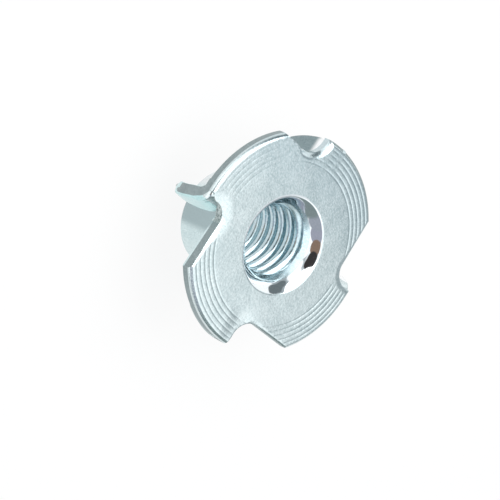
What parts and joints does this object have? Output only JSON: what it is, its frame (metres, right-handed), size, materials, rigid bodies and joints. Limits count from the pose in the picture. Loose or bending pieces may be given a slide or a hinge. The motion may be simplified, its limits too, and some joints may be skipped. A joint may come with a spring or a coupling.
{
  "type": "tee nut",
  "caption": "Pronged tee nut: a round flange with a threaded barrel and prongs folded down to bite into wood.",
  "frame": {"origin": "on the bore's axis, in the plane of the flange's underside, where it seats on the wood", "axes": "+Z along the bore out of the flange's face; +X parallel to the fold line of one prong; the barrel and prongs point to -Z"},
  "size_m": [0.022, 0.022, 0.0099],
  "materials": {
    "zinc_steel": "bright zinc plate over pressed steel, satin face with coined rings"
  },
  "bodies": {
    "root": {"tee_nut": "zinc_steel"}
  },
  "joints": []
}
